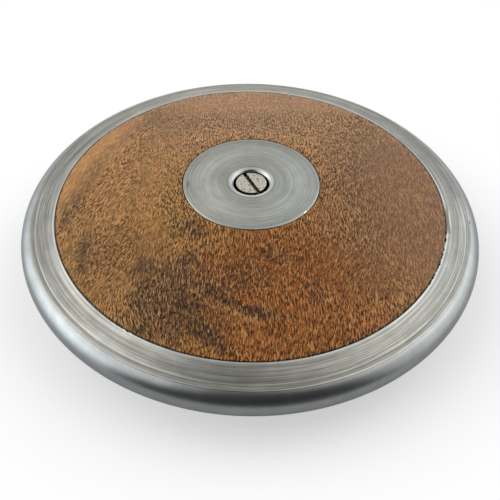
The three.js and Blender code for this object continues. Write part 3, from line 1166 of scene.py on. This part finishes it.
class Finishes:
    """The materials of the discus, each made once."""

    def __init__(self) -> None:
        """Builds every material."""
        # Bare mild steel: hands keep its round edge bright, and its band shows every ring of the lathe
        self.rim = TurnedSteel(
            "turned_steel_rim", body="#8f8e87", bright="#c3c3be", shade="#565651", ring_contrast=0.5,
            polished="#9da0a0", polished_from=86.3, polished_to=100.0, polished_roughness=0.3,
            lines=(
                # Painted highlights along the lip's inner edge
                (76.9, 0.65, 0.80),
                (78.2, 2.20, 0.16),
                (79.9, 0.20, -0.20),
                (81.4, 0.22, -0.45),
                (81.8, 0.20, 0.40),
                (83.1, 0.18, -0.18),
                (84.1, 0.22, 0.60),
                (84.6, 0.22, -0.28),
                # A painted highlight along the step's edge
                (86.1, 0.20, 0.55),
            ),
            # An olive-grey patch is painted over the dent in the lip, with a painted highlight along its
            # upper edge
            marks=(
                (Cloud(76.65, -7.4, 0.85, 7.6, 5.5, 0.85), "#807e66"),
                (Cloud(77.75, -7.6, 0.3, 6.6, 5.5, 0.8), "#dde1d6"),
                (Cloud(86.1, -6.9, 0.3, 1.3, 4.6, 0.8), "#2c2c2a"),
            ),
        ).build()
        # The same steel faced flat, paler and with fainter rings, which fan the light out into sectors
        self.plate = TurnedSteel(
            "turned_steel_plate", body="#a9aaa3", bright="#dadbd3", shade="#74756e", ring_contrast=0.36,
            polished="#c8cac7", polished_from=7.45, polished_to=8.5, polished_roughness=0.28,
            # The first line is painted shade round the dish's rounded edge
            lines=((9.2, 0.4, -0.35), (18.5, 5.5, 0.3), (25.0, 0.5, -0.2)),
            marks=(
                (Cloud(-24.3, -2.0, 0.6, 2.2, 0.0, 0.5), "#3a3f3a"),
                # A painted glint on the plate's edge
                (Cloud(20.2, -16.6, 0.35, 0.7, 45.0, 1.0), "#ffffff"),
            ),
            # Painted shade on the wall of the hole round the head
            recess_shade=RecessShade(radius=7.0, height=17.9),
        ).build()
        # Zinc that has gone dull and warm, with painted shade round the head and in the slot
        self.screw = ScrewSteel(
            "zinc_coated_screw_steel", "#9f988c", "#e2dacd", "#332e29", speckle=0.42, roughness=0.5,
            recess_shade=RecessShade(radius=7.0, height=18.2, head_radius=5.85, slot_turn=-62.0, slot_half_width=0.75),
        ).build()
        # Bar steel as it left the rolls: dark grey, dull, and clean under the plates
        self.ballast = ScrewSteel(
            "blackened_bar_steel", "#5f6160", "#7d7f7e", "#3a3a38", speckle=0.9, roughness=0.55
        ).build()
        # The lower half is the same wood, turned so that the two don't match
        self.wood = {
            Side.UPPER: VarnishedHardwood("varnished_hardwood_upper", turn=0.0).build(),
            Side.LOWER: VarnishedHardwood("varnished_hardwood_lower", turn=math.radians(152)).build(),
        }


def place_piece(piece: bpy.types.Object, body: Body, slot: Slot, *nodes: str) -> None:
    """Puts a piece on its body, in place of its CAD nodes, and reports it.

    Args:
        piece: The finished piece.
        body: The body that it rides on.
        slot: The material slot whose finish it has; not used.
        nodes: The CAD nodes that it stands for.
    """
    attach(piece, body.value)
    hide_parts(*nodes)
    log.info("%s: %d faces on %s", piece.name, len(piece.data.polygons), body.value)


@dataclass(frozen=True)
class Flank:
    """The straight cone that the plate's edge, the wood and the rim share."""

    plate_radius: float
    half_thickness: float
    gauge_radius: float
    gauge_height: float

    @property
    def slope(self) -> float:
        """How far the cone falls for each millimetre outwards."""
        return (self.half_thickness - self.gauge_height) / (self.gauge_radius - self.plate_radius)

    def at(self, radius: float, drop: float = 0.0) -> Point:
        """Gives the section's point on the cone at a radius, or a little below it."""
        return radius, self.half_thickness - (radius - self.plate_radius) * self.slope - drop


@dataclass
class SteelRim:
    """The rim, a solid ring with a round edge, a step and a turned band, and the pins in its web."""

    flank: Flank
    edge_radius: float
    edge_rounding: float = 6.25
    edge_steps: int = 40
    flank_setback: float = 4.2
    band_width: float = 9.7
    # Where the band has further rings of points, counted outwards from the lip
    band_rows: tuple[float, ...] = (1.6, 2.4, 3.6, 5.0, 6.4)
    lip_width: float = 0.4
    lip_fall: float = 0.08
    lip_steps: int = 9
    lip_thickness: float = 2.3
    groove_depth: float = 6.8
    web_thickness: float = 2.2
    web_depth: float = 8.0
    line_radius: float = 84.1
    line_width: float = 0.5
    line_depth: float = 0.07
    # The worn stretch of the lip: depths in millimetres, and angles in degrees from X
    wear_reach: float = 1.5
    dent: float = 0.45
    dent_angles: Point = (2.0, -11.0)
    burr: float = 0.6
    burr_end: float = -33.0
    nick_angle: float = -123.0
    nick_width: float = 2.6
    wear_seed: int = 4
    pin_count: int = 6
    pin_ease: float = 0.4
    pin_facets: int = 32
    facets: int = 960

    @property
    def step_radius(self) -> float:
        """The radius of the step between the round edge and the band."""
        return self.edge_radius - self.flank_setback

    @property
    def lip_radius(self) -> float:
        """The radius of the band's inner edge."""
        return self.step_radius - self.band_width

    def _shoulder(self) -> Outline:
        """Draws the upper half of the section, from the web to the step.

        Returns:
            Its points, from inside outwards.
        """
        at, lip, half = self.flank.at, self.lip_radius, self.line_width / 2
        web, groove = self.web_thickness / 2, self.lip_radius + self.groove_depth
        # Handling has rubbed the lip into a quarter of a flat ellipse, sheared to meet the cone
        quarter = arc((0.0, 0.0), 1.0, math.pi, math.pi / 2, self.lip_steps)
        return [
            (lip - self.web_depth, web),
            (groove, web),
            at(groove, self.lip_thickness),
            at(lip, self.lip_thickness),
            *(at(lip + (1 + x) * self.lip_width, (1 - y) * self.lip_fall) for x, y in quarter),
            *(at(lip + extra) for extra in self.band_rows),
            at(self.line_radius - half),
            at(self.line_radius, self.line_depth),
            at(self.line_radius + half),
            at(self.step_radius),
        ]

    def _outline(self) -> Outline:
        """Draws the whole section of the rim.

        Returns:
            Its points, closed on themselves.
        """
        bead_centre = self.edge_radius - self.edge_rounding
        step_angle = math.acos((self.step_radius - bead_centre) / self.edge_rounding)
        upper = self._shoulder()
        lower = [(radius, -height) for radius, height in upper]
        edge = arc((bead_centre, 0.0), self.edge_rounding, -step_angle, step_angle, self.edge_steps)
        return [*lower, *edge, *reversed(upper)]

    def build(self, shop: Workshop) -> None:
        """Makes the rim, and its pins as one pin repeated round the web.

        Args:
            shop: The machines and finishes.
        """
        wear = {
            "Lip Radius": self.lip_radius * MM,
            "Reach": self.wear_reach * MM,
            "Dent": self.dent * MM,
            "Dent Start": math.radians(self.dent_angles[0]),
            "Dent End": math.radians(self.dent_angles[1]),
            "Burr": self.burr * MM,
            "Burr End": math.radians(self.burr_end),
            "Nick Angle": math.radians(self.nick_angle),
            "Nick Width": math.radians(self.nick_width),
            "Seed": self.wear_seed,
        }
        finishes, worn = shop.finishes, [(shop.lip_wear, wear)]
        rim = shop.turned("steel_rim", self._outline(), self.facets, finishes.rim, later=worn)
        place_piece(rim, Body.DISCUS, Slot.RIM, "rim")
        names = [f"rim_pin_{i}" for i in range(1, self.pin_count + 1)]
        low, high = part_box(names[0])
        circle, radius, end = (low.x + high.x) / 2, (high.y - low.y) / 2 / MM, (high.z - low.z) / 2 / MM
        outline = eased([(0.0, -end), (radius, -end), (radius, end), (0.0, end)], self.pin_ease, False)
        ring = [(shop.drilling_ring, {"Count": self.pin_count, "Circle Radius": circle})]
        pins = shop.turned("rim_pins", outline, self.pin_facets, finishes.screw, later=ring)
        place_piece(pins, Body.DISCUS, Slot.SCREW, *names)


@dataclass
class WoodBody:
    """The two turned halves of hardwood, glued face to face round the rim's web."""

    flank: Flank
    radius: float
    glue_face: float
    bore_radius: float
    pocket_radius: float
    pocket_floor: float
    recess_radius: float
    recess_floor: float
    rebate_radius: float
    rebate_height: float
    ease: float = 0.15
    longest_face: float = 4.0
    facets: int = 360

    def _outline(self) -> Outline:
        """Draws the section of one half, with that half's face up.

        Returns:
            Its points, closed on themselves.
        """
        corners = [
            (self.bore_radius, self.glue_face),
            (self.rebate_radius, self.glue_face),
            (self.rebate_radius, self.rebate_height),
            (self.radius, self.rebate_height),
            self.flank.at(self.radius),
            self.flank.at(self.recess_radius),
            (self.recess_radius, self.recess_floor),
            (self.pocket_radius, self.recess_floor),
            (self.pocket_radius, self.pocket_floor),
            (self.bore_radius, self.pocket_floor),
        ]
        return divided(eased(corners, self.ease, True), self.longest_face)

    def build(self, shop: Workshop) -> None:
        """Turns both halves.

        Args:
            shop: The machines and finishes.
        """
        for side in Side:
            name = f"{side.name.lower()}_wood"
            half = shop.turned(name, self._outline(), self.facets, shop.finishes.wood[side], side)
            place_piece(half, Body.DISCUS, Slot.WOOD, f"{name}_half")


@dataclass
class CentrePlates:
    """The two steel plates, each a flange with a dished mouth over a hub for the screw's head."""

    plate: Extent
    flange_thickness: float
    hub_radius: float
    counterbore_radius: float
    counterbore_floor: float
    sleeve_hole_radius: float
    cone_width: float = 0.75
    cone_depth: float = 0.7
    land_width: float = 1.05
    land_depth: float = 0.15
    fall_width: float = 0.6
    fall_depth: float = 0.1
    edge_ease: float = 0.4
    dish_ease: float = 0.22
    dish_least_turn: float = 4.0
    ease_steps: int = 4
    longest_face: float = 2.5
    facets: int = 480

    def _outline(self) -> Outline:
        """Draws the section of a plate, with its face up.

        Returns:
            Its points, closed on themselves.
        """
        top, outer, bore = self.plate.top, self.plate.radius, self.counterbore_radius
        under = top - self.flange_thickness
        cone = bore + self.cone_width
        land = cone + self.land_width
        cone_top = top - self.fall_depth - self.land_depth
        mouth = (land + self.fall_width, top)
        edge = [(self.hub_radius, under), (outer, under), (outer, top), mouth]
        dish = [
            (outer - self.edge_ease, top),
            mouth,
            (land, top - self.fall_depth),
            (cone, cone_top),
            (bore, cone_top - self.cone_depth),
            (bore, self.counterbore_floor),
        ]
        inside = [
            (bore, self.counterbore_floor),
            (self.sleeve_hole_radius, self.counterbore_floor),
            (self.sleeve_hole_radius, self.plate.bottom),
            (self.hub_radius, self.plate.bottom),
            (self.hub_radius, under),
        ]
        around = eased(edge, self.edge_ease, False, self.ease_steps)[1:-1]
        dished = eased(dish, self.dish_ease, False, self.ease_steps, self.dish_least_turn)[1:-1]
        return divided([*around, *dished, *inside], self.longest_face)

    def build(self, shop: Workshop) -> None:
        """Turns both plates.

        Args:
            shop: The machines and finishes.
        """
        for side in Side:
            word = side.name.lower()
            plate = shop.turned(f"{word}_plate", self._outline(), self.facets, shop.finishes.plate, side)
            place_piece(plate, Body.DISCUS, Slot.PLATE, f"{word}_centre_plate")


@dataclass
class ClampScrew:
    """The bolt, the sleeve nut and their washers, which draw the plates together through a bush."""

    bolt: Extent
    nut: Extent
    lock_washer: Extent
    nut_washer: Extent
    bush: Extent
    head_height: float = 5.0
    head_ease: float = 0.24
    ease_steps: int = 4
    slot_width: float = 1.5
    slot_depth: float = 1.3
    slot_turn: float = -62.0
    saw_overrun: float = 1.0
    shank_radius: float = 4.0
    bolt_tip: float = 0.8
    thread_pitch: float = 1.25
    thread_depth: float = 0.72
    thread_play: float = 0.08
    thread_engagement: float = 12.5
    thread_runout: float = 2.0
    rows_per_pitch: int = 12
    # The cutter moves only what lies this near to the threaded radius
    cutter_reach: float = 0.01
    sleeve_radius: float = 5.0
    washer_play: float = 0.25
    washer_split: float = 1.2
    washer_lean: float = 30.0
    washer_ease: float = 0.2
    bush_wall: float = 1.7
    facets: int = 120
    ring_facets: int = 96

    def _saw(self, head_top: float, direction: int) -> dict[str, float]:
        """Gives the slot cutter's settings for a head.

        Args:
            head_top: The head's face, as a height from the middle plane.
            direction: One for a head that faces up, minus one for one that faces down.

        Returns:
            The values of the cutter's named inputs.
        """
        height = 2 * (self.slot_depth + self.saw_overrun)
        centre = head_top + direction * (height / 2 - self.slot_depth)
        return {
            "Length": 2 * (self.bolt.radius + self.saw_overrun) * MM,
            "Width": self.slot_width * MM,
            "Height": height * MM,
            "Centre Height": MIDDLE + centre * MM,
            "Turn": direction * math.radians(self.slot_turn),
        }

    def _thread(self, bottom: float, top: float, radius: float) -> dict[str, float]:
        """Gives the thread cutter's settings.

        Args:
            bottom: The lower end of the thread, as a height from the middle plane.
            top: Its upper end.
            radius: The radius of the wall that is threaded.

        Returns:
            The values of the cutter's named inputs.
        """
        return {
            "Pitch": self.thread_pitch * MM,
            "Depth": self.thread_depth * MM,
            "Bottom": MIDDLE + bottom * MM,
            "Top": MIDDLE + top * MM,
            "Runout": self.thread_pitch * MM,
            "Inside Radius": (radius - self.cutter_reach) * MM,
            "Outside Radius": (radius + self.cutter_reach) * MM,
        }

    def _build_screw(
        self, shop: Workshop, name: str, outline: Outline, thread: dict[str, float], saw: dict[str, float]
    ) -> bpy.types.Object:
        """Turns, threads and slots one of the two screws.

        Args:
            shop: The machines and finishes.
            name: The piece's name.
            outline: Its section.
            thread: The thread cutter's settings.
            saw: The slot cutter's settings.

        Returns:
            The piece.
        """
        later = [(shop.thread_cutter, thread), (shop.slot_cutter, saw)]
        return shop.turned(name, outline, self.facets, shop.finishes.screw, later=later)

    def _build_bolt(self, shop: Workshop) -> None:
        """Turns, threads and slots the bolt.

        Args:
            shop: The machines and finishes.
        """
        bolt, shank, tip = self.bolt, self.shank_radius, self.bolt_tip
        under = bolt.top - self.head_height
        thread_top = bolt.bottom + self.thread_engagement + self.thread_runout
        step = self.thread_pitch / self.rows_per_pitch
        rows = round((thread_top - bolt.bottom - tip) / step)
        thread = [(shank, bolt.bottom + tip + i * step) for i in range(rows + 1)]
        head = [(shank, under), (bolt.radius, under), (bolt.radius, bolt.top), (0.0, bolt.top)]
        head = eased(head, self.head_ease, False, self.ease_steps)
        outline = [(0.0, bolt.bottom), (shank - tip, bolt.bottom), *thread, *head]
        cutter = self._thread(bolt.bottom - self.thread_pitch, thread_top, shank)
        piece = self._build_screw(shop, "slotted_bolt", outline, cutter, self._saw(bolt.top, 1))
        place_piece(piece, Body.BOLT, Slot.SCREW, "centre_bolt")

    def _build_nut(self, shop: Workshop) -> None:
        """Turns, threads and slots the sleeve nut, whose head faces down.

        Args:
            shop: The machines and finishes.
        """
        nut, bore = self.nut, self.shank_radius + self.thread_play
        under = nut.bottom + self.head_height
        rows = round((nut.top - under) * self.rows_per_pitch / self.thread_pitch)
        thread = [(bore, under + i * (nut.top - under) / rows) for i in range(rows)]
        outside = [
            (bore, nut.top),
            (self.sleeve_radius, nut.top),
            (self.sleeve_radius, under),
            (self.bolt.radius, under),
            (self.bolt.radius, nut.bottom),
            (0.0, nut.bottom),
        ]
        outline = [(0.0, under), *thread, *eased(outside, self.head_ease, False, self.ease_steps)]
        cutter = self._thread(under - self.thread_pitch, nut.top + self.thread_pitch, bore)
        piece = self._build_screw(shop, "sleeve_nut_turned", outline, cutter, self._saw(nut.bottom, -1))
        place_piece(piece, Body.DISCUS, Slot.SCREW, "sleeve_nut")

    def _build_washers(self, shop: Workshop) -> None:
        """Winds the split washer, and turns the plain one and the bush.

        Args:
            shop: The machines and finishes.
        """
        bore, lock = self.shank_radius + self.washer_play, self.lock_washer
        wound = {
            "Mean Radius": (bore + lock.radius) / 2 * MM,
            "Wire Width": (lock.radius - bore) * MM,
            "Wire Height": (lock.top - lock.bottom) * MM,
            "Split": self.washer_split * MM,
            "Lean": math.radians(self.washer_lean),
            "Middle Height": MIDDLE + (lock.top + lock.bottom) / 2 * MM,
            "Ease": self.washer_ease * MM,
        }
        screw, start = shop.finishes.screw, bpy.data.meshes.new("washer_start")
        washer = shop.shaped("split_washer", start, [(shop.washer_winder, wound)], screw)
        place_piece(washer, Body.LOCK_WASHER, Slot.SCREW, "bolt_spring_washer")
        outline = ring_outline(self.nut_washer, self.sleeve_radius + self.washer_play)
        plain = shop.turned("plain_washer", outline, self.ring_facets, screw)
        place_piece(plain, Body.DISCUS, Slot.SCREW, "nut_washer")
        outline = ring_outline(self.bush, self.bush.radius - self.bush_wall)
        bush = shop.turned("spacer_bush", outline, self.ring_facets, shop.finishes.ballast)
        place_piece(bush, Body.DISCUS, Slot.BALLAST, "core_bush")

    def build(self, shop: Workshop) -> None:
        """Makes every piece of the screw.

        Args:
            shop: The machines and finishes.
        """
        self._build_bolt(shop)
        self._build_nut(shop)
        self._build_washers(shop)


@dataclass
class Ballast:
    """The rings and trim washers in the pockets under the plates, which set the weight."""

    width: float = 5.75
    trim_count: int = 2
    facets: int = 120

    def build(self, shop: Workshop) -> None:
        """Turns the ring and the trim washers of each side.

        Args:
            shop: The machines and finishes.
        """
        for side in Side:
            word = side.name.lower()
            nodes = {f"{word}_ballast": f"{word}_ballast_ring"}
            nodes |= {f"{word}_trim_{i}": f"{word}_trim_washer_{i}" for i in range(1, self.trim_count + 1)}
            for name, node in nodes.items():
                extent = Extent.of(node)
                outline = ring_outline(extent, extent.radius - self.width)
                ring = shop.turned(name, outline, self.facets, shop.finishes.ballast)
                place_piece(ring, Body.DISCUS, Slot.BALLAST, node)


@dataclass(frozen=True)
class SoftLight:
    """A soft light far away: its direction, how wide it is, how bright, and its tint.

    The azimuth is counted from the camera's side, with positive angles to the right.
    """

    azimuth: float
    elevation: float
    core: float
    reach: float
    strength: float
    tint: str = "#ffffff"

    def direction(self) -> tuple[float, float, float]:
        """Gives the unit vector towards the light."""
        turn, rise = math.radians(self.azimuth), math.radians(self.elevation)
        return math.cos(rise) * math.sin(turn), -math.cos(rise) * math.cos(turn), math.sin(rise)


@dataclass
class Studio:
    """The floor, the soft light all round and the camera."""

    ambient: float = 0.045
    # How far back and how high a unit vector points where the backdrop starts and where it is full
    backdrop_behind: Point = (0.5, 0.95)
    backdrop_low: Point = (0.3, 0.05)
    floor_radius: float = 0.26
    floor_corners: int = 128
    floor_colour: str = "#bcbcbc"
    floor_roughness: float = 0.9
    floor_shine: float = 0.1
    floor_glow: float = 0.5
    mirrored_glow: float = 0.2
    lens: float = 52.2
    sensor_width: float = 36.0
    nearest: float = 0.01
    distance: float = 281.0
    elevation: float = 46.35
    roll: float = 1.12
    target: Point = (0.0, -18.43)
    lights: tuple[SoftLight, ...] = (
        SoftLight(-90.0, 8.0, 8.0, 43.0, 1.8, "#f4faff"),
        SoftLight(-85.0, 45.0, 8.0, 42.0, 1.55),
        SoftLight(98.0, 20.0, 8.0, 50.0, 1.25),
        SoftLight(99.0, 63.0, 8.0, 28.0, 0.97, "#fffaf4"),
        SoftLight(135.0, 40.0, 6.0, 40.0, 1.09, "#f6faff"),
        SoftLight(-138.0, 44.0, 6.0, 40.0, 1.0),
        SoftLight(-178.0, 3.0, 4.0, 31.0, 1.6, "#fffffa"),
        SoftLight(150.0, 20.0, 4.0, 32.0, 0.2),
        SoftLight(-132.0, 6.0, 6.0, 28.0, 0.85, "#f8fbff"),
        SoftLight(180.0, 83.0, 4.0, 20.0, 0.35),
    )

    @staticmethod
    def _whiteness(add: Callable[..., Node], mirrored_share: Flow | float) -> Flow:
        """Finds how white the background is for a ray: wholly for the camera, in part for metal and glass.

        Args:
            add: The function that adds a node.
            mirrored_share: How much of the white a mirrored ray sees.

        Returns:
            The share of white.
        """
        rays = add("ShaderNodeLightPath").outputs
        kinds = (rays["Is Glossy Ray"], rays["Is Transmission Ray"])
        mirrored = add("ShaderNodeMath", *kinds, operation="MAXIMUM")
        share = add("ShaderNodeMath", mirrored, mirrored_share, operation="MULTIPLY")
        return add("ShaderNodeMath", share, rays["Is Camera Ray"], operation="MAXIMUM")

    def _light_world(self) -> None:
        """Lights the world softly from both sides and behind, with white for the camera to see."""
        world = bpy.data.worlds.new("soft_studio")
        bpy.context.scene.world = world
        world.use_nodes = True
        world.node_tree.nodes.clear()
        add = partial(add_node, world.node_tree)
        way = add("ShaderNodeTexCoord").outputs["Generated"]
        total = (self.ambient,) * 3
        for light in self.lights:
            facing = add("ShaderNodeVectorMath", way, light.direction(), operation="DOT_PRODUCT")
            cosines = (math.cos(math.radians(angle)) for angle in (light.reach, light.core))
            fade = (*cosines, 0.0, light.strength)
            share = add("ShaderNodeMapRange", facing, *fade, interpolation_type="SMOOTHSTEP")
            lit = add("ShaderNodeVectorMath", linear(light.tint)[:3], share, operation="SCALE")
            total = add("ShaderNodeVectorMath", total, lit, operation="ADD")
        axes = add("ShaderNodeSeparateXYZ", way).outputs
        # Metal shows the white backdrop low down behind the discus, as the camera does
        behind = add("ShaderNodeMapRange", axes["Y"], *self.backdrop_behind)
        low = add("ShaderNodeMapRange", axes["Z"], *self.backdrop_low)
        backdrop = add("ShaderNodeMath", behind, low, operation="MULTIPLY")
        white = self._whiteness(add, backdrop)
        colour = add("ShaderNodeMix", white, total, (1, 1, 1, 1), data_type="RGBA")
        add("ShaderNodeOutputWorld", add("ShaderNodeBackground", colour, 1.0))

    def _lay_floor(self) -> None:
        """Lays a round, plain, pale table top at the foot of the discus."""
        turns = [FULL_TURN * i / self.floor_corners for i in range(self.floor_corners)]
        radius, foot = self.floor_radius, CAD_BOX[0].z
        edge = [(radius * math.cos(turn), radius * math.sin(turn), foot) for turn in turns]
        mesh = bpy.data.meshes.new("floor")
        mesh.from_pydata(edge, [], [tuple(range(self.floor_corners))])
        floor = bpy.data.objects.new("floor", mesh)
        bpy.context.scene.collection.objects.link(floor)
        surface = Surface.opened("matt_white_paper")
        # The paper glows to white for the camera, and a share of that shows in metal and glass
        white = self._whiteness(surface.add, self.mirrored_glow)
        mesh.materials.append(surface.closed_with({
            "Base Color": linear(self.floor_colour),
            "Roughness": self.floor_roughness,
            "Specular IOR Level": self.floor_shine,
            "Emission Color": (1, 1, 1, 1),
            "Emission Strength": surface.add("ShaderNodeMath", white, self.floor_glow, operation="MULTIPLY"),
        }))

    def _aim_camera(self) -> None:
        """Sets the camera where the photograph was taken from."""
        data = bpy.data.cameras.new("camera")
        data.lens = self.lens
        data.sensor_width = self.sensor_width
        data.clip_start = self.nearest
        camera = bpy.data.objects.new("camera", data)
        bpy.context.scene.collection.objects.link(camera)
        rise, roll = math.radians(self.elevation), math.radians(self.roll)
        back = Vector((0.0, -math.cos(rise), math.sin(rise)))
        right = Vector((1.0, 0.0, 0.0))
        up = back.cross(right)
        across = right * math.cos(roll) + up * math.sin(roll)
        above = up * math.cos(roll) - right * math.sin(roll)
        eye = Vector((self.target[0] * MM, self.target[1] * MM, MIDDLE)) + back * self.distance * MM
        turn = Matrix((across, above, back)).transposed()
        camera.matrix_world = Matrix.Translation(eye) @ turn.to_4x4()
        bpy.context.scene.camera = camera

    def build(self) -> None:
        """Sets up the floor, the light and the camera."""
        bpy.context.scene.view_settings.view_transform = "Standard"
        self._light_world()
        self._lay_floor()
        self._aim_camera()


def main() -> None:
    """Builds the discus piece by piece."""
    logging.basicConfig(level=logging.INFO, format="%(message)s")
    Studio().build()
    shop = Workshop(Finishes())
    rim, wood = Extent.of("rim"), Extent.of("upper_wood_half")
    plate, bolt = Extent.of("upper_centre_plate"), Extent.of("centre_bolt")
    bush, ring = Extent.of("core_bush"), Extent.of("upper_ballast_ring")
    lock_washer, nut_washer = Extent.of("bolt_spring_washer"), Extent.of("nut_washer")
    gap, glue_line, seat_gap, head_play = 0.3, 0.3, 0.15, 0.85
    gauge_inset, gauge_height, flange, hub_wall, sleeve_hole = 6.0, 6.5, 2.8, 2.8, 5.3
    flank = Flank(plate.radius, plate.top, rim.radius - gauge_inset, gauge_height)
    steel_rim = SteelRim(flank, rim.radius)
    steel_rim.build(shop)
    WoodBody(
        flank,
        wood.radius,
        glue_face=glue_line / 2,
        bore_radius=bush.radius + gap,
        pocket_radius=ring.radius + gap,
        pocket_floor=bush.top,
        recess_radius=plate.radius + gap,
        recess_floor=plate.top - flange - gap,
        rebate_radius=steel_rim.lip_radius - steel_rim.web_depth - gap,
        rebate_height=steel_rim.web_thickness / 2 + gap,
    ).build(shop)
    head_hole, seat = bolt.radius + head_play, lock_washer.bottom - seat_gap
    CentrePlates(plate, flange, head_hole + hub_wall, head_hole, seat, sleeve_hole).build(shop)
    ClampScrew(bolt, Extent.of("sleeve_nut"), lock_washer, nut_washer, bush).build(shop)
    Ballast().build(shop)


if __name__ == "__main__":
    main()
